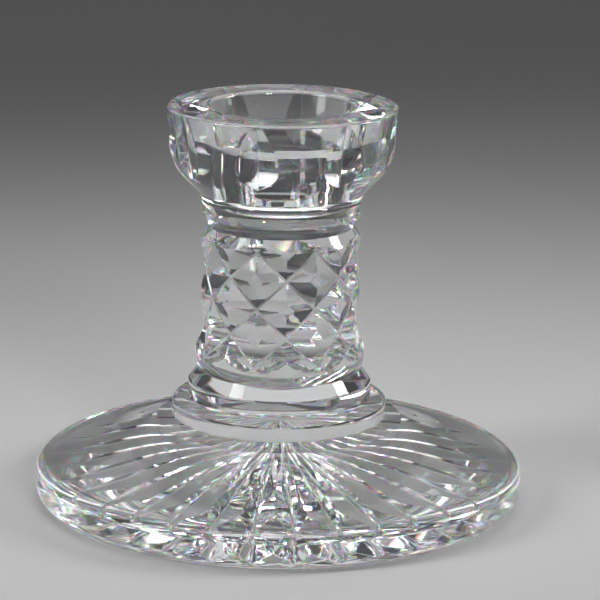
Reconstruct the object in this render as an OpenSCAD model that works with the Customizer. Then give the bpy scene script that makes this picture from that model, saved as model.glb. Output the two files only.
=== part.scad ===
// Cut-glass candlestick: six gathers of clear glass, hot-joined one on another.
// Millimetres, +Z up, origin at the middle of the underside.

/* [Overall] */
// Height from the table to the rim
overall_h = 101.6; // [86:0.2:124]
// Diameter of the foot at its widest
foot_d = 125; // [104:0.5:152]

/* [Foot] */
// Height of the foot's side, measured at the widest circle
foot_side_z = 6.8; // [5.5:0.1:8.4]
// Radius of the edge that meets the table
foot_edge_r = 3.2; // [2:0.1:4.4]
// Width of the rounded lip above the side
lip_w = 4; // [2.5:0.1:6]
// Height of the rounded lip above the side
lip_h = 2.8; // [1.5:0.1:3.6]
// Slope of the foot's top beside the lip, in degrees
lip_slope = 6; // [3:0.5:9]
// Height of the foot's middle, where the lower step sits
foot_h = 21.3; // [17.6:0.1:25.6]
// Width of the raised pad that shows outside the lower step
pad_out = 4; // [2:0.1:6]
// Fall of the pad from the lower step to its outer crease
pad_fall = 1.3; // [0.6:0.1:3.6]
// Overhang of the lower step past the top of the pad
seat_in = 1.5; // [0.8:0.1:2.5]

/* [Star cut under the foot] */
// Number of radial cuts
star_cuts = 32; // [20:2:36]
// Distance from the foot's edge to the tips of the cuts
star_margin = 8.5; // [7:0.1:14]
// Depth of the cuts at the middle
star_depth = 5.2; // [3:0.1:6.2]
// Angle between the two faces of a cut, in degrees
star_angle = 120; // [100:5:140]

/* [Steps] */
// How far the lower step stands out past the upper one
lower_step_out = 4.2; // [2.5:0.1:6]
// Height of the lower step in the middle
lower_step_h = 4.75; // [3.5:0.05:6]
// Fall of the lower step's top towards its edge
lower_step_fall = 0.85; // [0:0.05:1.2]
// How far the upper step stands out past the column's straight part
upper_step_out = 3.05; // [2.4:0.05:4.5]
// Height of the upper step
upper_step_h = 4.6; // [3.4:0.1:6]
// Bevel on the edges of both steps
step_bevel = 0.35; // [0.2:0.05:0.6]

/* [Column] */
// Radius of the column's straight part
column_r = 20.25; // [16.9:0.05:24.3]
// Extra radius where the column flares out at its base
column_flare = 1.4; // [0.4:0.1:1.6]
// Height of the cone between the upper step and the flare
cone_h = 3.05; // [1.5:0.05:4]
// Height of the flare's plain rim above the cone
flare_rim_h = 4.65; // [3:0.05:6]
// How far the plain rim draws in towards the cone
flare_tuck = 0.85; // [0.3:0.05:1.4]
// Number of grooves in each direction round the column
column_cuts = 8; // [6:1:12]
// Rows of crossings from the bottom of the pattern to its top
cut_rows = 4; // [3:1:5]
// Depth of the column's grooves
column_cut_depth = 1.25; // [0.6:0.05:1.6]
// Angle that turns the whole cut pattern about the axis
pattern_turn = -18; // [-22:1:22]

/* [Neck] */
// Depth of the V-shaped neck groove
neck_cut = 1.95; // [1:0.05:2.6]
// Height of the neck groove's lower face, on the column
neck_lower_h = 3.05; // [2:0.05:4]
// Height of the neck groove's upper face, on the collar
collar_h = 3; // [2:0.05:4]

/* [Candle cup] */
// Height of the cup above the collar
cup_h = 27.75; // [23.1:0.05:33]
// How far the rim stands out past the column's straight part
rim_out = 8.85; // [7.4:0.05:10.6]
// Radius of the cup's round belly
belly_r = 12.8; // [9:0.1:14]
// Width of the rim from its outer edge to the opening
rim_w = 9.7; // [8.1:0.1:11.6]
// Width of the rounding on the rim's outer edge
rim_round_w = 1.4; // [0.8:0.1:2.2]
// Height of the rounding on the rim's outer edge
rim_round_h = 0.6; // [0.4:0.1:1.2]
// How far the drip cup narrows from the opening to its floor
drip_in = 2.4; // [1.6:0.1:3.6]
// Depth of the drip cup, from the rim to the middle of its sloping floor
drip_depth = 8.6; // [7:0.1:11]
// Radius of the candle socket
socket_r = 11.2; // [9.2:0.05:13.4]
// Thickness of the glass under the candle socket
socket_floor = 1.75; // [1:0.05:4]
// Number of pointed cuts round the cup
cup_cuts = 8; // [6:1:9]
// Depth of the pointed cuts
cup_cut_depth = 1.3; // [0.8:0.05:1.8]
// Height of the pointed cuts
cup_cut_h = 15; // [11:0.5:16]
// Angle that turns the pointed cuts about the axis
cup_cut_turn = -12.5; // [-22.5:0.5:22.5]

/* [Hidden] */
glass = [0.86, 0.9, 0.93, 0.45];
smooth = 128;
// Share of the flare's plain rim, at its top, that keeps the full radius.
full_flare_share = 0.2;

foot_r = foot_d / 2;
upper_step_r = column_r + upper_step_out;
lower_step_r = upper_step_r + lower_step_out;
pad_r = lower_step_r + pad_out;
pad_z = foot_h - pad_fall;
neck_r = column_r - neck_cut;
rim_r = column_r + rim_out;
mouth_r = rim_r - rim_w;
drip_r = mouth_r - drip_in;
lower_step_z = foot_h;
upper_step_z = lower_step_z + lower_step_h;
column_z = upper_step_z + upper_step_h;
cup_z = overall_h - cup_h;
collar_z = cup_z - collar_h;
shaft_top_z = collar_z - neck_lower_h;
flare_low_z = column_z + cone_h;
pattern_z = flare_low_z + flare_rim_h;
flare_z = pattern_z - flare_rim_h * full_flare_share;
pattern_h = shaft_top_z - pattern_z;

function arc(cx, cy, rx, ry, from, to, steps = 12) =
    [for (i = [0:steps]) let (a = from + (to - from) * i / steps) [cx + rx * cos(a), cy + ry * sin(a)]];

// Points along the circular arc that joins two points and leaves the first at a given
// slope angle, with the turn shared evenly along it.
function sweep_arc(p, q, start, steps) =
    let (chord = norm(q - p), mean = atan2(q[1] - p[1], q[0] - p[0]), half = mean - start)
    [for (i = [1:steps])
        let (t = i / steps, d = chord * sin(half * t) / sin(half), a = start + half * t)
        [p[0] + d * cos(a), p[1] + d * sin(a)]];

// ---- Foot ----

foot_seat_r = lower_step_r - seat_in;
lip_top = [foot_r - lip_w, foot_side_z + lip_h];

foot_outline = concat(
    [[0, 0]],
    arc(foot_r - foot_edge_r, foot_edge_r, foot_edge_r, foot_edge_r, -90, 0, 10),
    arc(foot_r - lip_w, foot_side_z, lip_w, lip_h, 0, 90, 12),
    sweep_arc(lip_top, [pad_r, pad_z], 180 - lip_slope, 14),
    [[foot_seat_r, foot_h], [0, foot_h]]
);

star_tip_r = foot_r - star_margin;
star_ring_shares = [0.1, 0.2, 0.33, 0.48, 0.63, 0.78, 0.9, 1.02, 1.15];
star_sides = star_cuts * 2;
star_below = 12;

// Height of a cut's bottom line at a distance from the axis: a shallow arc, as a wheel leaves.
function star_valley(r) = star_depth * (1 - pow(r / star_tip_r, 2));
function star_ridge(r) = star_valley(r) - r * sin(180 / star_cuts) / tan(star_angle / 2);

// The solid that the star cut removes, with one ring of points for each distance.
module star_cutter() {
    rings = [for (share = star_ring_shares) share * star_tip_r];
    last = len(rings) - 1;
    top = [for (r = rings, j = [0:star_sides - 1])
        let (a = j * 360 / star_sides)
        [r * cos(a), r * sin(a), j % 2 == 0 ? star_valley(r) : star_ridge(r)]];
    floor_ring = [for (j = [0:star_sides - 1])
        let (a = j * 360 / star_sides) [rings[last] * cos(a), rings[last] * sin(a), -star_below]];
    apex = len(top) + len(floor_ring);
    points = concat(top, floor_ring, [[0, 0, star_depth]]);
    faces = concat(
        [for (j = [0:star_sides - 1]) [apex, (j + 1) % star_sides, j]],
        [for (i = [0:last], j = [0:star_sides - 1], half = [0, 1])
            let (k = (j + 1) % star_sides, a = i * star_sides, b = a + star_sides)
            half == 0 ? [a + j, a + k, b + j] : [a + k, b + k, b + j]],
        [[for (j = [0:star_sides - 1]) len(top) + j]]
    );
    polyhedron(points, faces);
}

module foot() {
    color(glass) difference() {
        rotate_extrude($fn = smooth) polygon(foot_outline);
        rotate(pattern_turn) star_cutter();
    }
}

// ---- Steps ----

module lower_step() {
    edge_z = lower_step_h - lower_step_fall;
    color(glass) translate([0, 0, lower_step_z]) rotate_extrude($fn = smooth) polygon([
        [0, 0],
        [lower_step_r - step_bevel, 0],
        [lower_step_r, step_bevel],
        [lower_step_r, edge_z - step_bevel],
        [lower_step_r - step_bevel, edge_z],
        [upper_step_r, lower_step_h],
        [0, lower_step_h]
    ]);
}

module upper_step() {
    color(glass) translate([0, 0, upper_step_z]) rotate_extrude($fn = smooth) polygon([
        [0, 0],
        [upper_step_r, 0],
        [upper_step_r, upper_step_h - step_bevel],
        [upper_step_r - step_bevel, upper_step_h],
        [0, upper_step_h]
    ]);
}

// ---- Column ----

cells_per_row = 4;
column_sides = column_cuts * 2 * cells_per_row;
column_levels = cut_rows * cells_per_row;
cut_pitch = 360 / column_cuts;
cut_half = cut_pitch * 3 / 8;
flare_fade_h = 8;
cut_fade_h = 3;
cut_end_share = 0.25;
cone_r = upper_step_r - step_bevel;
tuck_levels = 4;
pattern_step = pattern_h / column_levels;

// The uncut column's radius: a flare that eases into the straight part above and draws in
// below, and the neck's slope.
function flare_at(z) =
    let (t = min(1, max(0, (z - flare_z) / flare_fade_h)),
        low = max(0, (flare_z - z) / (flare_z - flare_low_z)))
    column_flare * (1 - t * t * (3 - 2 * t)) - flare_tuck * low * low;
function neck_at(z) = max(0, z - shaft_top_z) * (column_r - neck_r) / neck_lower_h;

// How far a direction lies from the nearest groove of one family, in degrees.
function off_groove(a) = abs(((a % cut_pitch) + cut_pitch * 1.5) % cut_pitch - cut_pitch / 2);
function twist_at(z) = (shaft_top_z - z) * cut_pitch / 2 / (pattern_step * cells_per_row);
function groove_share(a, z) =
    max(0, 1 - min(off_groove(a - twist_at(z)), off_groove(a + twist_at(z))) / cut_half);
function groove_fade(z) =
    max(0, min(1, (z - pattern_z) / cut_fade_h + cut_end_share, 1 - (z - shaft_top_z) / cut_fade_h));
function column_radius(a, z) =
    min(column_r - neck_at(z) + flare_at(z),
        column_r + flare_at(z) - column_cut_depth * groove_share(a, z) * groove_fade(z));

column_heights = concat(
    [for (i = [0:tuck_levels]) flare_low_z + (flare_z - flare_low_z) * i / tuck_levels],
    [for (i = [0:column_levels]) pattern_z + i * pattern_step],
    [shaft_top_z + neck_lower_h / 2, collar_z]
);

// The cut surface of the column. Each cell's diagonal follows the groove nearest to it.
module cut_shaft() {
    rings = concat(
        [[for (j = [0:column_sides - 1]) cone_r]],
        [for (z = column_heights) [for (j = [0:column_sides - 1]) column_radius(j * 360 / column_sides, z)]]
    );
    heights = concat([column_z], column_heights);
    top = len(heights) - 1;
    points = [for (i = [0:top], j = [0:column_sides - 1])
        let (a = j * 360 / column_sides) [rings[i][j] * cos(a), rings[i][j] * sin(a), heights[i]]];
    function at(i, j) = i * column_sides + j % column_sides;
    function rising(i, j) =
        let (z = (heights[i] + heights[i + 1]) / 2, a = (j + 0.5) * 360 / column_sides)
        off_groove(a + twist_at(z)) < off_groove(a - twist_at(z));
    sides = [for (i = [0:top - 1], j = [0:column_sides - 1], half = [0, 1])
        rising(i, j)
            ? (half == 0
                ? [at(i, j), at(i + 1, j), at(i, j + 1)]
                : [at(i + 1, j), at(i + 1, j + 1), at(i, j + 1)])
            : (half == 0
                ? [at(i, j), at(i + 1, j), at(i + 1, j + 1)]
                : [at(i, j), at(i + 1, j + 1), at(i, j + 1)])];
    caps = [
        [for (j = [0:column_sides - 1]) at(0, j)],
        [for (j = [column_sides - 1:-1:0]) at(top, j)]
    ];
    polyhedron(points, concat(sides, caps));
}

module column() {
    color(glass) rotate(pattern_turn - 90) cut_shaft();
}

// ---- Neck collar ----

module neck_collar() {
    color(glass) translate([0, 0, collar_z])
        cylinder(h = collar_h, r1 = neck_r, r2 = column_r, $fn = smooth);
}

// ---- Candle cup ----

neck_fillet_r = 4.4;
neck_straight_h = 3.3;
under_angle = 45;
wall_angle = 3.8;
round_z = cup_h - rim_round_h;
fillet_end = [
    column_r + neck_fillet_r * (1 - cos(under_angle)),
    neck_straight_h + neck_fillet_r * sin(under_angle)
];

// The side wall's height is what lets the 45-degree underside, the round belly and the wall
// run into each other smoothly.
belly_out = belly_r * (cos(wall_angle) - cos(under_angle));
belly_rise = belly_r * (sin(under_angle) - sin(wall_angle));
wall_h = ((round_z - fillet_end[1] - belly_rise) - (rim_r - fillet_end[0] - belly_out))
    / (1 - tan(wall_angle));
belly_x = rim_r - wall_h * tan(wall_angle) - belly_r * cos(wall_angle);
belly_z = round_z - wall_h + belly_r * sin(wall_angle);

cup_outline = concat(
    [[0, 0], [column_r, 0]],
    arc(column_r + neck_fillet_r, neck_straight_h, neck_fillet_r, neck_fillet_r, 180, 180 - under_angle, 6),
    arc(belly_x, belly_z, belly_r, belly_r, -under_angle, -wall_angle, 8),
    arc(rim_r - rim_round_w, round_z, rim_round_w, rim_round_h, 0, 90, 6),
    [[0, cup_h]]
);

socket_z = cup_h - drip_depth;
shoulder_h = 1.3;
mouth_round = 1.1;

cavity_outline = concat(
    [[0, socket_floor], [socket_r, socket_floor], [socket_r, socket_z - shoulder_h]],
    [[drip_r, socket_z + shoulder_h]],
    arc(mouth_r, cup_h - mouth_round, mouth_round, mouth_round, 180, 90, 5),
    [[mouth_r, cup_h + 1], [0, cup_h + 1]]
);

// A mitre wheel: a disc whose rim is a blunt V, held so that it grinds one pointed cut.
wheel_r = 95;
wheel_half_w = 8;
chord_depth = 1;
cut_half_w = 4.9;
cut_top_in = 0.1;
cut_top_rise = 0.3;
cut_top = [rim_r - cut_top_in, round_z + cut_top_rise];
cut_low_z = cut_top[1] - cup_cut_h;
cut_low_drop = 2.7;
wheel_tilt = atan2(cut_low_drop, cup_cut_h);
wheel_sag = cup_cut_depth - chord_depth;
wheel_slope = (cup_cut_depth - cut_half_w * cut_half_w / 2 / rim_r) / cut_half_w;

module mitre_wheel() {
    rim_fall = wheel_half_w * wheel_slope;
    rotate([90, 0, 0]) rotate_extrude($fn = smooth) polygon([
        [0, -wheel_half_w],
        [wheel_r - rim_fall, -wheel_half_w],
        [wheel_r, 0],
        [wheel_r - rim_fall, wheel_half_w],
        [0, wheel_half_w]
    ]);
}

module cup_cutters() {
    mid = [cut_top[0] - cut_low_drop / 2, (cut_top[1] + cut_low_z) / 2];
    reach = wheel_r - wheel_sag;
    for (i = [0:cup_cuts - 1])
        rotate(cup_cut_turn - 90 + i * 360 / cup_cuts)
            translate([mid[0] + reach * cos(wheel_tilt), 0, mid[1] - reach * sin(wheel_tilt)])
                mitre_wheel();
}

module candle_cup() {
    color(glass) translate([0, 0, cup_z]) difference() {
        rotate_extrude($fn = smooth) polygon(cup_outline);
        rotate_extrude($fn = smooth) polygon(cavity_outline);
        cup_cutters();
    }
}

foot();
lower_step();
upper_step();
column();
neck_collar();
candle_cup();
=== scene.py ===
from math import asin, atan2, cos, degrees, hypot, radians, sin, sqrt, tan

import bpy
from mathutils import Matrix, Vector


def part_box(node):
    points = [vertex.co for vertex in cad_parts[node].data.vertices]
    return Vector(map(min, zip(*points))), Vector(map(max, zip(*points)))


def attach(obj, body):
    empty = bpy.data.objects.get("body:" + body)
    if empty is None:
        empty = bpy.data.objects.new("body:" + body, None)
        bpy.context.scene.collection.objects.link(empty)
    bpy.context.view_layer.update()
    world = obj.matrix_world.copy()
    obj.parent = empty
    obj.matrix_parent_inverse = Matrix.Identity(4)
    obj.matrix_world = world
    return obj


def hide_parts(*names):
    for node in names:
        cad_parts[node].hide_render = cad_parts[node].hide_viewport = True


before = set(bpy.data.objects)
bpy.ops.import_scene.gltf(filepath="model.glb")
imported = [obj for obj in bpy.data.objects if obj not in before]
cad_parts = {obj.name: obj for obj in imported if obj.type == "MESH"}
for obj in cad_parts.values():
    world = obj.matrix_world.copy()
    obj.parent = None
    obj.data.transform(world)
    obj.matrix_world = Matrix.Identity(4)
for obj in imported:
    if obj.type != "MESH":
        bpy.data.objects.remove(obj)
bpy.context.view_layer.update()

MM = 0.001

# ---- Sizes, in millimetres and degrees, read off the frame where a node's box gives them ----


def box_mm(node):
    low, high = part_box(node)
    return [v / MM for v in low], [v / MM for v in high]


def top_of(node):
    return box_mm(node)[1][2]


def bottom_of(node):
    return box_mm(node)[0][2]


FOOT_R = box_mm("foot")[1][0]
FOOT_H = top_of("foot")
LOWER_STEP_R = box_mm("lower_step")[1][0]
UPPER_STEP_Z = bottom_of("upper_step")
UPPER_STEP_R = box_mm("upper_step")[1][0]
COLUMN_Z = bottom_of("column")
COLLAR_Z = bottom_of("neck_collar")
COLUMN_R = box_mm("neck_collar")[1][0]
CUP_Z = bottom_of("candle_cup")
OVERALL_H = top_of("candle_cup")
RIM_R = box_mm("candle_cup")[1][0]

FOOT_SIDE_Z = 6.8
FOOT_EDGE_R = 3.2
LIP_W = 4.0
LIP_H = 2.8
LIP_SLOPE = 6.0
PAD_R = LOWER_STEP_R + 4.0
PAD_Z = FOOT_H - 1.3
SEAT_R = LOWER_STEP_R - 1.5

STAR_CUTS = 32
STAR_TIP_R = FOOT_R - 8.5
STAR_DEPTH = 5.2
STAR_ANGLE = 120.0

STEP_BEVEL = 0.35
LOWER_STEP_FALL = 0.85

FLARE = 1.4
FLARE_FADE_H = 8.0
FLARE_TUCK = 0.85
CONE_R = UPPER_STEP_R - STEP_BEVEL
CONE_H = 3.05
FLARE_RIM_H = 4.65
FULL_FLARE_SHARE = 0.2
COLUMN_CUTS = 8
CUT_ROWS = 4
CUT_DEPTH = 1.25
CUT_HALF = 0.375
CUT_FADE_H = 3.0
CUT_END_SHARE = 0.25
PATTERN_TURN = -18.0
NECK_R = COLUMN_R - 1.95
NECK_LOWER_H = 3.05

CUP_H = OVERALL_H - CUP_Z
MOUTH_R = RIM_R - 9.7
DRIP_R = MOUTH_R - 2.4
DRIP_DEPTH = 8.6
SOCKET_R = 11.2
SOCKET_FLOOR = 1.75
SHOULDER_H = 1.3
MOUTH_ROUND = 1.1
RIM_ROUND_W = 1.4
RIM_ROUND_H = 0.6
BELLY_R = 12.8
CUP_CUTS = 8
CUP_CUT_DEPTH = 1.3
CUP_CUT_H = 15.0
CUP_CUT_TURN = -12.5
CUT_TOP_IN = 0.1
CUT_TOP_RISE = 0.3

FLARE_LOW_Z = COLUMN_Z + CONE_H
PATTERN_Z = FLARE_LOW_Z + FLARE_RIM_H
FLARE_Z = PATTERN_Z - FLARE_RIM_H * FULL_FLARE_SHARE
SHAFT_TOP_Z = COLLAR_Z - NECK_LOWER_H
ROW_H = (SHAFT_TOP_Z - PATTERN_Z) / CUT_ROWS

# Polishing rounds a cut's bottom line (POLISH) and its edges (EDGE and CUP_EDGE) a little. The
# column's grooves have a narrow flat bottom instead, GROOVE_FLAT to each side of the middle.
POLISH = 0.2
EDGE = 0.22
GROOVE_FLAT = 0.3
GROOVE_POLISH = 0.06
CUP_EDGE = 0.16

# Direction of the front, about +Z, and the number of sides of a plain round piece.
FRONT = -90.0
ROUND_SIDES = 256

# Material slots of every piece: clear glass, a fused face, and the satin bottom line of a cut.
GLASS, JOINT, LINE = 0, 1, 2


# ---- Mesh building ----


def arc(cx, cy, rx, ry, start, end, steps):
    turn = [radians(start + (end - start) * i / steps) for i in range(steps + 1)]
    return [(cx + rx * cos(a), cy + ry * sin(a)) for a in turn]


def even_arc(p, q, start, steps):
    """Circular arc from p to q that leaves p at the given slope angle; p itself is left out."""
    chord = hypot(q[0] - p[0], q[1] - p[1])
    mean = degrees(atan2(q[1] - p[1], q[0] - p[0]))
    half = (mean - start + 180) % 360 - 180
    points = []
    for i in range(1, steps + 1):
        turn = half * i / steps
        reach = chord * sin(radians(turn)) / sin(radians(half))
        way = radians(start + turn)
        points.append((p[0] + reach * cos(way), p[1] + reach * sin(way)))
    return points


def line(p, q, steps):
    """Points along a straight line from p to q; p itself is left out."""
    across, rise = q[0] - p[0], q[1] - p[1]
    return [(p[0] + across * i / steps, p[1] + rise * i / steps) for i in range(1, steps + 1)]


def soft_abs(x, size):
    return sqrt(x * x + size * size) - size


def soft_max(a, b, size):
    """The larger of two values, with the change from one to the other rounded."""
    near = max(0, size - abs(a - b))
    return max(a, b) + near * near / (4 * size)


# Where the columns of a mesh lie across half a cut, as shares: close together at the bottom line
# and at the rounded edge. The edge's own are in units of its rounding.
SIDE_SHARES = (0, 0.025, 0.055, 0.12, 0.24, 0.42, 0.62, 0.82)
EDGE_SHARES = (-1.5, -0.9, -0.45, 0, 0.45, 0.9, 1.5)
REST_SHARES = (0.2, 0.45, 0.7, 0.87, 1)
EDGE_REACH = EDGE_SHARES[-1]


def beside_edge(edge, half, reach):
    """Places across half a cut: its side up to the edge, the rounded edge, and the rest up to half."""
    spread = min(1, edge / (2 * EDGE_REACH * reach), (half - edge) / (2 * reach))
    low, high = edge - EDGE_REACH * reach * spread, edge + EDGE_REACH * reach * spread
    inner = [low * t for t in SIDE_SHARES]
    middle = [edge + reach * spread * t for t in EDGE_SHARES]
    return inner + middle + [high + (half - high) * t for t in REST_SHARES]


# Number of columns across one whole cut and its surroundings, the column of its bottom line, and
# the number of faces to each side of that which are satin.
SPREAD = 2 * (len(SIDE_SHARES) + len(EDGE_SHARES) + len(REST_SHARES) - 1)
BOTTOM_COLUMN = SPREAD // 2 - 1
LINE_FACES = 2


def spin_point(angle, r, z):
    a = radians(angle)
    return (r * cos(a) * MM, r * sin(a) * MM, z * MM)


def even_angles(sides):
    return [360 * j / sides for j in range(sides)]


class Skin:
    """Collects points and faces for one closed glass piece."""

    def __init__(self):
        self.points = []
        self.faces = []
        self.kinds = []

    def ring(self, spots):
        first = len(self.points)
        self.points += [spin_point(*spot) for spot in spots]
        return list(range(first, len(self.points)))

    def centre(self, z):
        self.points.append((0, 0, z * MM))
        return len(self.points) - 1

    def face(self, corners, kind=GLASS):
        self.faces.append(corners)
        self.kinds.append(kind)

    def band(self, low, high, lined=False):
        """Joins two rings, with satin lines along the bottoms of the cuts if it is lined."""
        sides = len(low)
        for j in range(sides):
            k = (j + 1) % sides
            on_line = lined and -LINE_FACES <= j % SPREAD - BOTTOM_COLUMN < LINE_FACES
            self.face((low[j], low[k], high[k], high[j]), LINE if on_line else GLASS)

    def cap(self, ring, z, up, kind=GLASS):
        middle = self.centre(z)
        sides = len(ring)
        for j in range(sides):
            k = (j + 1) % sides
            self.face((ring[j], ring[k], middle) if up else (ring[k], ring[j], middle), kind)

    def lathe(self, outline, angles):
        rings = [self.ring([(a, r, z) for a in angles]) for r, z in outline]
        for low, high in zip(rings, rings[1:]):
            self.band(low, high)
        return rings

    def finish(self, name, materials, node, crease=6.0):
        mesh = bpy.data.meshes.new(name)
        mesh.from_pydata(self.points, [], self.faces)
        for material in materials:
            mesh.materials.append(material)
        mesh.polygons.foreach_set("material_index", self.kinds)
        mesh.validate()
        mesh.shade_smooth()
        mesh.set_sharp_from_angle(angle=radians(crease))
        piece = bpy.data.objects.new(name, mesh)
        bpy.context.scene.collection.objects.link(piece)
        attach(piece, "root")
        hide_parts(node)
        return piece


# ---- Materials ----

# Glass bends green, red and blue light differently: each channel's place in a colour, and its index.
BENDS = ((1, 1.55), (0, 1.538), (2, 1.562))
# Each channel's shader favours its own colour. Together the three average to clear.
OWN_SHARE, OTHER_SHARE = 1.6, 0.7
CLEAR_TINT = (0.985, 0.99, 0.992, 1)
SATIN_TINT = (0.97, 0.975, 0.98, 1)
RIPPLE_DETAIL = 1.5
SATIN_ROUGHNESS = 0.3


def cut_glass(name, tint, ripple, ripple_scale, roughness=0.0):
    """Polished lead glass: clear, with the faint waviness that polishing leaves.

    Red, green and blue are each bent by their own amount, which gives cut glass its coloured glints.
    """
    material = bpy.data.materials.new(name)
    material.use_nodes = True
    nodes = material.node_tree.nodes
    links = material.node_tree.links
    nodes.clear()
    out = nodes.new("ShaderNodeOutputMaterial")
    place = nodes.new("ShaderNodeTexCoord")
    wave = nodes.new("ShaderNodeTexNoise")
    wave.inputs["Scale"].default_value = ripple_scale
    wave.inputs["Detail"].default_value = RIPPLE_DETAIL
    bump = nodes.new("ShaderNodeBump")
    bump.inputs["Strength"].default_value = ripple
    bump.inputs["Distance"].default_value = MM
    links.new(place.outputs["Object"], wave.inputs["Vector"])
    links.new(wave.outputs["Fac"], bump.inputs["Height"])
    mixed = None
    for count, (own, index) in enumerate(BENDS, 1):
        shader = nodes.new("ShaderNodeBsdfGlass")
        colour = [t * (OWN_SHARE if i == own else OTHER_SHARE) for i, t in enumerate(tint)]
        shader.inputs["Color"].default_value = colour[:3] + [1]
        shader.inputs["Roughness"].default_value = roughness
        shader.inputs["IOR"].default_value = index
        links.new(bump.outputs["Normal"], shader.inputs["Normal"])
        if mixed is None:
            mixed = shader.outputs["BSDF"]
            continue
        mix = nodes.new("ShaderNodeMixShader")
        mix.inputs["Fac"].default_value = 1 / count
        links.new(mixed, mix.inputs[1])
        links.new(shader.outputs["BSDF"], mix.inputs[2])
        mixed = mix.outputs["Shader"]
    links.new(mixed, out.inputs["Surface"])
    return material


def satin_glass(name):
    """The bottom line of a cut, where the wheel's track is left a little less polished."""
    return cut_glass(name, SATIN_TINT, ripple=0.05, ripple_scale=400, roughness=SATIN_ROUGHNESS)


def joint_face(name):
    """The face where two gathers are fused: glass meets glass, so light goes straight through."""
    material = bpy.data.materials.new(name)
    material.use_nodes = True
    nodes = material.node_tree.nodes
    nodes.clear()
    out = nodes.new("ShaderNodeOutputMaterial")
    shader = nodes.new("ShaderNodeBsdfTransparent")
    material.node_tree.links.new(shader.outputs["BSDF"], out.inputs["Surface"])
    return material


# ---- Foot ----

# The mesh gives every cut at least and at most these shares of its sector, also where the cut
# itself runs out or meets its neighbours.
LEAST_CUT_SHARE, MOST_CUT_SHARE = 0.12, 0.9
# Distances of the mesh's rings from the middle of the star, as shares of the way to its tips.
STAR_RINGS = [0.04, 0.08, 0.13, 0.18] + [0.24 + 0.04 * i for i in range(19)] + [0.985, 1.0]


def star_valley(r):
    return STAR_DEPTH * (1 - (r / STAR_TIP_R) ** 2)


def star_angles(r):
    """Angles across one cut at radius r, from its bottom line out to the ridge beside it."""
    half = 180 / STAR_CUTS
    wide = star_valley(r) * tan(radians(STAR_ANGLE / 2))
    edge = degrees(asin(min(1, max(0, wide / r))))
    edge = min(max(edge, LEAST_CUT_SHARE * half), MOST_CUT_SHARE * half)
    return beside_edge(edge, half, degrees(EDGE / r))


def star_height(r, angle):
    across = r * sin(radians(angle))
    slope = 1 / tan(radians(STAR_ANGLE / 2))
    return soft_max(0, star_valley(r) - soft_abs(across, POLISH) * slope, EDGE * slope)


def star_ring(r):
    side = star_angles(r)
    offsets = [-a for a in reversed(side[1:-1])] + side
    pitch = 360 / STAR_CUTS
    return [
        (FRONT + PATTERN_TURN + k * pitch + a, r, star_height(r, abs(a)))
        for k in range(STAR_CUTS)
        for a in offsets
    ]


def build_foot(materials):
    skin = Skin()
    star = [skin.ring(star_ring(share * STAR_TIP_R)) for share in STAR_RINGS]
    skin.cap(star[0], star_valley(0), up=False)
    angles = [spot[0] for spot in star_ring(STAR_TIP_R)]
    lip_top = (FOOT_R - LIP_W, FOOT_SIDE_Z + LIP_H)
    outline = [(FOOT_R - FOOT_EDGE_R, 0)]
    outline += arc(FOOT_R - FOOT_EDGE_R, FOOT_EDGE_R, FOOT_EDGE_R, FOOT_EDGE_R, -90, 0, 16)[1:]
    outline += line(outline[-1], (FOOT_R, FOOT_SIDE_Z), 2)
    outline += arc(FOOT_R - LIP_W, FOOT_SIDE_Z, LIP_W, LIP_H, 0, 90, 22)[1:]
    outline += even_arc(lip_top, (PAD_R, PAD_Z), 180 - LIP_SLOPE, 24)
    outline += line((PAD_R, PAD_Z), (SEAT_R, FOOT_H), 3)
    rings = skin.lathe(outline, angles)
    for low, high in zip(star, star[1:]):
        skin.band(low, high, lined=True)
    skin.band(star[-1], rings[0])
    skin.cap(rings[-1], FOOT_H, up=True, kind=JOINT)
    return skin.finish("foot_body", materials, "foot")


# ---- Steps and collar ----


def build_lower_step(materials):
    skin = Skin()
    low, high, edge = FOOT_H, UPPER_STEP_Z, UPPER_STEP_Z - LOWER_STEP_FALL
    outline = [
        (SEAT_R, low),
        (LOWER_STEP_R - STEP_BEVEL, low),
        (LOWER_STEP_R, low + STEP_BEVEL),
        (LOWER_STEP_R, edge - STEP_BEVEL),
        (LOWER_STEP_R - STEP_BEVEL, edge),
        (UPPER_STEP_R, high),
    ]
    rings = skin.lathe(outline, even_angles(ROUND_SIDES))
    skin.cap(rings[0], low, up=False, kind=JOINT)
    skin.cap(rings[-1], high, up=True, kind=JOINT)
    return skin.finish("lower_step_ring", materials, "lower_step")


def build_upper_step(materials):
    skin = Skin()
    outline = [
        (UPPER_STEP_R, UPPER_STEP_Z),
        (UPPER_STEP_R, COLUMN_Z - STEP_BEVEL),
        (CONE_R, COLUMN_Z),
    ]
    rings = skin.lathe(outline, even_angles(ROUND_SIDES))
    skin.cap(rings[0], UPPER_STEP_Z, up=False, kind=JOINT)
    skin.cap(rings[-1], COLUMN_Z, up=True, kind=JOINT)
    return skin.finish("upper_step_ring", materials, "upper_step")


def build_neck_collar(materials):
    skin = Skin()
    rings = skin.lathe([(NECK_R, COLLAR_Z), (COLUMN_R, CUP_Z)], even_angles(ROUND_SIDES))
    skin.cap(rings[0], COLLAR_Z, up=False, kind=JOINT)
    skin.cap(rings[-1], CUP_Z, up=True, kind=JOINT)
    return skin.finish("neck_collar_cone", materials, "neck_collar")


# ---- Column ----

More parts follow.
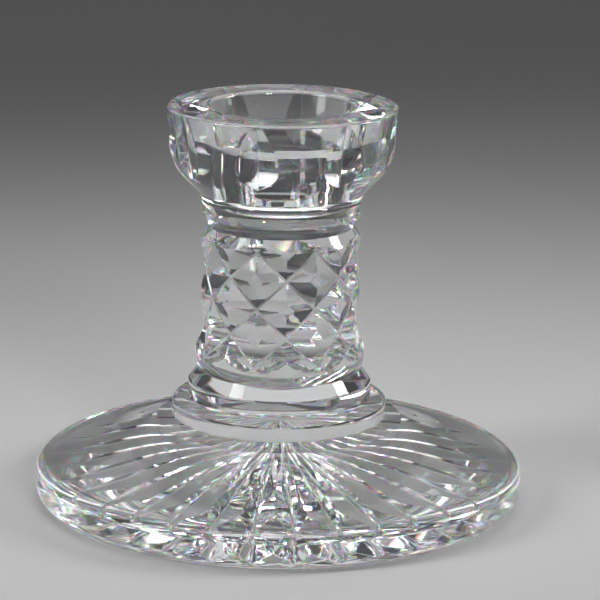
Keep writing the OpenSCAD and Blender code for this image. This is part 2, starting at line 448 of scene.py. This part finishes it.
# Places along one diamond's side, as shares of it: closer together at the bottom of a groove and
# at its edge.
DIAMOND_HALF = [0, 0.012, 0.023, 0.028, 0.033, 0.04, 0.06, 0.095, 0.14, 0.185, 0.235, 0.285, 0.325]
DIAMOND_HALF += [CUT_HALF + t for t in (-0.03, -0.018, -0.009, 0, 0.009, 0.018, 0.03, 0.055, 0.085)]
DIAMOND = DIAMOND_HALF + [0.5] + [1 - t for t in reversed(DIAMOND_HALF)]
CELLS = len(DIAMOND) - 1
# Distance between two neighbouring grooves of one family.
GROOVE_GAP = 10.7
# Levels of the mesh between the pattern and the two ends of the column, as shares of the way.
NECK_LEVELS = (0.06, 0.15, 0.27, 0.42, 0.6, 0.8, 1)
FLARE_LEVELS = (0.06, 0.12, 0.2, 0.3, 0.4, 0.5, 0.6, 0.7, 0.8, 0.9, 1)


def diamond_place(index):
    return index // CELLS + DIAMOND[index % CELLS]


def flare_at(z):
    t = min(1, max(0, (z - FLARE_Z) / FLARE_FADE_H))
    low = max(0, (FLARE_Z - z) / (FLARE_Z - FLARE_LOW_Z))
    return FLARE * (1 - t * t * (3 - 2 * t)) - FLARE_TUCK * low * low


def groove_share(place):
    """Depth of one groove family as a share of the full depth, by distance from its bottom line."""
    flat = GROOVE_FLAT / GROOVE_GAP
    off = soft_max(0, abs(place - round(place)) - flat, GROOVE_POLISH / GROOVE_GAP)
    return soft_max(0, 1 - off / (CUT_HALF - flat), EDGE / GROOVE_GAP / CUT_HALF)


def groove_fade(z):
    low = (z - PATTERN_Z) / CUT_FADE_H + CUT_END_SHARE
    high = 1 - (z - SHAFT_TOP_Z) / CUT_FADE_H
    return max(0, min(1, low, high))


def column_spot(across, down):
    """A point of the cut surface, from its places in the two families of grooves."""
    turn = (across - down) / 2
    z = SHAFT_TOP_Z - ROW_H * (across + down)
    share = max(groove_share(across), groove_share(down))
    neck = max(0, z - SHAFT_TOP_Z) * (COLUMN_R - NECK_R) / NECK_LOWER_H
    r = min(COLUMN_R - neck + flare_at(z), COLUMN_R + flare_at(z) - CUT_DEPTH * share * groove_fade(z))
    return (FRONT + PATTERN_TURN + turn * 360 / COLUMN_CUTS, r, z)


def column_ring(skin, z):
    """A level ring beside the lattice, with the lattice's own columns."""
    rows = (SHAFT_TOP_Z - z) / ROW_H
    spots = []
    for j in range(COLUMN_CUTS * CELLS):
        turn = diamond_place(j)
        spots.append(column_spot(turn + rows / 2, rows / 2 - turn))
    return skin.ring(spots)


def build_column(materials):
    skin = Skin()
    columns = COLUMN_CUTS * CELLS
    wrap = 2 * columns
    last = CUT_ROWS * CELLS
    found = {}

    def kind_of(i, j):
        """Satin for the faces along the flat bottom of a groove, clear for the rest."""
        middles = [(DIAMOND[n % CELLS] + DIAMOND[n % CELLS + 1]) / 2 for n in (i, j)]
        nearest = min(min(m, 1 - m) for m in middles)
        return LINE if nearest < GROOVE_FLAT / GROOVE_GAP else GLASS

    def node(i, j):
        """The point where line i of one family meets line j of the other, made once."""
        key = (i + j, (i - j) % wrap)
        if key not in found:
            found[key] = len(skin.points)
            skin.points.append(spin_point(*column_spot(diamond_place(i), diamond_place(j))))
        return found[key]

    for total in range(-1, last):
        for k in range(columns):
            i = k + (total + 1) // 2
            j = total - i
            kind = kind_of(i, j)
            left, right = node(i, j + 1), node(i + 1, j)
            if total == last - 1:
                skin.face((node(i, j), left, right), kind)
            elif total < 0:
                skin.face((left, node(i + 1, j + 1), right), kind)
            elif i % CELLS + j % CELLS == CELLS - 1:
                skin.face((node(i, j), left, right), kind)
                skin.face((left, node(i + 1, j + 1), right), kind)
            else:
                skin.face((node(i, j), left, node(i + 1, j + 1)), kind)
                skin.face((node(i, j), node(i + 1, j + 1), right), kind)

    top = [node(j, -j) for j in range(columns)]
    bottom = [node(j + last // 2, last // 2 - j) for j in range(columns)]
    above = [top] + [column_ring(skin, SHAFT_TOP_Z + NECK_LOWER_H * t) for t in NECK_LEVELS]
    for low, high in zip(above, above[1:]):
        skin.band(low, high)
    skin.cap(above[-1], COLLAR_Z, up=True, kind=JOINT)
    below = [bottom] + [column_ring(skin, PATTERN_Z - FLARE_RIM_H * t) for t in FLARE_LEVELS]
    for high, low in zip(below, below[1:]):
        skin.band(low, high)
    angles = [FRONT + PATTERN_TURN + diamond_place(j) * 360 / COLUMN_CUTS for j in range(columns)]
    seat = skin.ring([(a, CONE_R, COLUMN_Z) for a in angles])
    skin.band(seat, below[-1])
    skin.cap(seat, COLUMN_Z, up=False, kind=JOINT)
    return skin.finish("column_shaft", materials, "column")


# ---- Candle cup ----

UNDER_ANGLE = 45.0
WALL_ANGLE = 3.8
NECK_FILLET_R = 4.4
NECK_STRAIGHT_H = 3.3
WHEEL_R = 95.0
CUT_HALF_W = 4.9
CUT_LOW_DROP = 2.7
CHORD_DEPTH = 1.0
# Widest turn from a cut's middle at which its edge is looked for, and the halvings that find it.
EDGE_SEARCH = 20
HALVINGS = 40
# Half width, in degrees, of a cut's columns where there is no cut, and just past the cut's ends,
# and the height over which the one becomes the other.
PLAIN_EDGE = 9.0
LEAST_EDGE = 0.8
SPREAD_H = 4.0


def cup_outline():
    """The uncut outside of the cup, from the collar up to the rim, in heights above the collar."""
    round_z = CUP_H - RIM_ROUND_H
    wall = radians(WALL_ANGLE)
    under = radians(UNDER_ANGLE)
    fillet = (COLUMN_R + NECK_FILLET_R * (1 - cos(under)), NECK_STRAIGHT_H + NECK_FILLET_R * sin(under))
    belly_out = BELLY_R * (cos(wall) - cos(under))
    belly_rise = BELLY_R * (sin(under) - sin(wall))
    wall_h = ((round_z - fillet[1] - belly_rise) - (RIM_R - fillet[0] - belly_out)) / (1 - tan(wall))
    belly_x = RIM_R - wall_h * tan(wall) - BELLY_R * cos(wall)
    belly_z = round_z - wall_h + BELLY_R * sin(wall)
    points = [(COLUMN_R, 0)] + line((COLUMN_R, 0), (COLUMN_R, NECK_STRAIGHT_H), 3)
    fillet_x = COLUMN_R + NECK_FILLET_R
    points += arc(fillet_x, NECK_STRAIGHT_H, NECK_FILLET_R, NECK_FILLET_R, 180, 180 - UNDER_ANGLE, 14)[1:]
    belly = arc(belly_x, belly_z, BELLY_R, BELLY_R, -UNDER_ANGLE, -WALL_ANGLE, 26)
    points += line(points[-1], belly[0], 6) + belly[1:]
    points += line(points[-1], (RIM_R, round_z), 18)
    points += arc(RIM_R - RIM_ROUND_W, round_z, RIM_ROUND_W, RIM_ROUND_H, 0, 90, 14)[1:]
    return points


def wheel_line(z):
    """Radius of a pointed cut's bottom line at height z above the collar."""
    round_z = CUP_H - RIM_ROUND_H
    top = (RIM_R - CUT_TOP_IN, round_z + CUT_TOP_RISE)
    tilt = atan2(CUT_LOW_DROP, CUP_CUT_H)
    reach = WHEEL_R - (CUP_CUT_DEPTH - CHORD_DEPTH)
    x = top[0] - CUT_LOW_DROP / 2 + reach * cos(tilt)
    y = top[1] - CUP_CUT_H / 2 - reach * sin(tilt)
    return x - sqrt(max(0, WHEEL_R**2 - (z - y) ** 2))


def cup_cut_slope():
    return (CUP_CUT_DEPTH - CUT_HALF_W**2 / 2 / RIM_R) / CUT_HALF_W


def cup_cut_edge(r, z):
    """Angle from the cut's middle to its edge, at radius r and height z; 0 outside the cut."""
    depth = r - wheel_line(z)
    if depth <= 0:
        return 0
    slope = cup_cut_slope()
    low, high = 0, EDGE_SEARCH
    for _ in range(HALVINGS):
        mid = (low + high) / 2
        inside = r * (cos(radians(mid)) - slope * sin(radians(mid))) > wheel_line(z)
        low, high = (mid, high) if inside else (low, mid)
    return low


def cut_radius(angle, r, z):
    slope = cup_cut_slope()
    across = soft_abs(r * sin(radians(angle)), POLISH)
    cut = (wheel_line(z) + slope * across) / cos(radians(angle))
    return -soft_max(-r, -cut, 2 * slope * CUP_EDGE)


def cup_spots(r, z, edge):
    """One ring of the cup's outside, with columns that follow the outlines of the cuts."""
    half = 180 / CUP_CUTS
    side = beside_edge(edge, half, degrees(CUP_EDGE / r))
    offsets = [-a for a in reversed(side[1:-1])] + side
    spots = []
    for k in range(CUP_CUTS):
        for a in offsets:
            spots.append((FRONT + CUP_CUT_TURN + k * 2 * half + a, cut_radius(a, r, z), z + CUP_Z))
    return spots


def cavity_outline():
    """The inside of the cup, from the rim down to a ring half way in on the socket's floor."""
    floor_z = CUP_H - DRIP_DEPTH
    points = arc(MOUTH_R, CUP_H - MOUTH_ROUND, MOUTH_ROUND, MOUTH_ROUND, 90, 180, 12)
    points += line(points[-1], (DRIP_R, floor_z + SHOULDER_H), 10)
    points += line(points[-1], (SOCKET_R, floor_z - SHOULDER_H), 3)
    points += line(points[-1], (SOCKET_R, SOCKET_FLOOR), 6)
    points += line(points[-1], (SOCKET_R / 2, SOCKET_FLOOR), 1)
    return points


def build_candle_cup(materials):
    skin = Skin()
    outline = cup_outline()
    edges = [cup_cut_edge(r, z) for r, z in outline]
    cut = [i for i, e in enumerate(edges) if e > 0]
    rings = []
    for i, (r, z) in enumerate(outline):
        beyond = max(outline[cut[0]][1] - z, z - outline[cut[-1]][1], 0)
        default = LEAST_EDGE + (PLAIN_EDGE - LEAST_EDGE) * min(1, beyond / SPREAD_H)
        rings.append(skin.ring(cup_spots(r, z, max(edges[i], default))))
    for i in range(len(rings) - 1):
        skin.band(rings[i], rings[i + 1], lined=min(edges[i], edges[i + 1]) > 0)
    angles = [spot[0] for spot in cup_spots(RIM_R, CUP_H, PLAIN_EDGE)]
    rim = line(outline[-1], (MOUTH_R, CUP_H), 4)
    inside = [(r, z + CUP_Z) for r, z in rim + cavity_outline()[1:]]
    inner = skin.lathe(inside, angles)
    skin.band(rings[-1], inner[0])
    skin.cap(inner[-1], CUP_Z + SOCKET_FLOOR, up=True)
    skin.cap(rings[0], CUP_Z, up=False, kind=JOINT)
    return skin.finish("candle_cup_bowl", materials, "candle_cup")


# ---- The object ----


def build_candlestick():
    joint = joint_face("fused_joint")
    foot = cut_glass("foot_glass", CLEAR_TINT, ripple=0.02, ripple_scale=60)
    plain = cut_glass("step_glass", CLEAR_TINT, ripple=0.02, ripple_scale=80)
    cut = cut_glass("column_glass", CLEAR_TINT, ripple=0.02, ripple_scale=120)
    cup = cut_glass("cup_glass", CLEAR_TINT, ripple=0.02, ripple_scale=70)
    satin = satin_glass("cut_line")
    build_foot([foot, joint, satin])
    build_lower_step([plain, joint])
    build_upper_step([plain, joint])
    build_column([cut, joint, satin])
    build_neck_collar([cup, joint])
    build_candle_cup([cup, joint, satin])


# ---- Floor, light and camera ----


def plain_surface(name, colour, roughness):
    material = bpy.data.materials.new(name)
    material.use_nodes = True
    shader = material.node_tree.nodes["Principled BSDF"]
    shader.inputs["Base Color"].default_value = colour
    shader.inputs["Roughness"].default_value = roughness
    return material


# The floor lies this far below the foot, so that the two faces don't coincide.
GAP = 0.0003
FLOOR_HALF = 3.0
FLOOR_COLOUR = (0.5, 0.5, 0.5, 1)
WORLD_COLOUR = (0.06, 0.06, 0.063, 1)
# Each light's place, the point it is turned to, its width and depth, its watts, and its spread in degrees.
LIGHTS = {
    "overhead_light": ((0, 0.05, 0.7), (0, -0.02, 0), 0.7, 0.7, 0.55, 60),
    "left_light": ((-0.7, -0.3, 0.45), (0, 0, 0.06), 0.25, 0.55, 0.5, 50),
    "right_light": ((0.7, 0.1, 0.4), (0, 0, 0.06), 0.2, 0.5, 0.4, 50),
    "back_light": ((0, 1.1, 0.8), (0, 0, 0.1), 1.2, 0.5, 1.1, 180),
    "front_light": ((0.35, -0.8, 0.5), (0, 0, 0.06), 0.15, 0.15, 0.15, 50),
}
CAMERA_PLACE = (0, -0.7078, 0.2369)
# How far the camera looks down, how far it is turned to the right, and how far it leans.
CAMERA_PITCH, CAMERA_YAW, CAMERA_ROLL = 14.72, 0.408, 0.811
SENSOR_W = 36
LENS = 172.2


def build_floor():
    mesh = bpy.data.meshes.new("floor")
    corners = [(x * FLOOR_HALF, y * FLOOR_HALF, -GAP) for x, y in ((-1, -1), (1, -1), (1, 1), (-1, 1))]
    mesh.from_pydata(corners, [], [(0, 1, 2, 3)])
    mesh.materials.append(plain_surface("floor_paint", FLOOR_COLOUR, 0.6))
    floor = bpy.data.objects.new("floor", mesh)
    bpy.context.scene.collection.objects.link(floor)


def soft_light(name, place, aim, width, depth, watts, spread):
    light = bpy.data.lights.new(name, "AREA")
    light.shape = "RECTANGLE"
    light.size = width
    light.size_y = depth
    light.energy = watts
    light.spread = radians(spread)
    lamp = bpy.data.objects.new(name, light)
    lamp.location = place
    lamp.rotation_euler = (Vector(aim) - Vector(place)).to_track_quat("-Z", "Y").to_euler()
    bpy.context.scene.collection.objects.link(lamp)


def build_world():
    world = bpy.data.worlds.new("studio")
    world.use_nodes = True
    world.node_tree.nodes["Background"].inputs["Color"].default_value = WORLD_COLOUR
    bpy.context.scene.world = world


def build_camera():
    place = Vector(CAMERA_PLACE)
    pitch, yaw, roll = [radians(turn) for turn in (CAMERA_PITCH, CAMERA_YAW, CAMERA_ROLL)]
    ahead = Vector((sin(yaw) * cos(pitch), cos(yaw) * cos(pitch), -sin(pitch)))
    level = Vector((cos(yaw), -sin(yaw), 0))
    upright = level.cross(ahead)
    right = cos(roll) * level + sin(roll) * upright
    up = cos(roll) * upright - sin(roll) * level
    data = bpy.data.cameras.new("camera")
    data.sensor_width = SENSOR_W
    data.lens = LENS
    data.clip_start = 0.01
    camera = bpy.data.objects.new("camera", data)
    rotation = Matrix((right, up, -ahead)).transposed()
    camera.matrix_world = Matrix.Translation(place) @ rotation.to_4x4()
    bpy.context.scene.collection.objects.link(camera)
    bpy.context.scene.camera = camera


build_candlestick()
build_floor()
for light_name, light_values in LIGHTS.items():
    soft_light(light_name, *light_values)
build_world()
build_camera()

scene = bpy.context.scene
scene.view_settings.view_transform = "Standard"
scene.cycles.max_bounces = 32
scene.cycles.transmission_bounces = 32
scene.cycles.glossy_bounces = 16
scene.cycles.transparent_max_bounces = 32
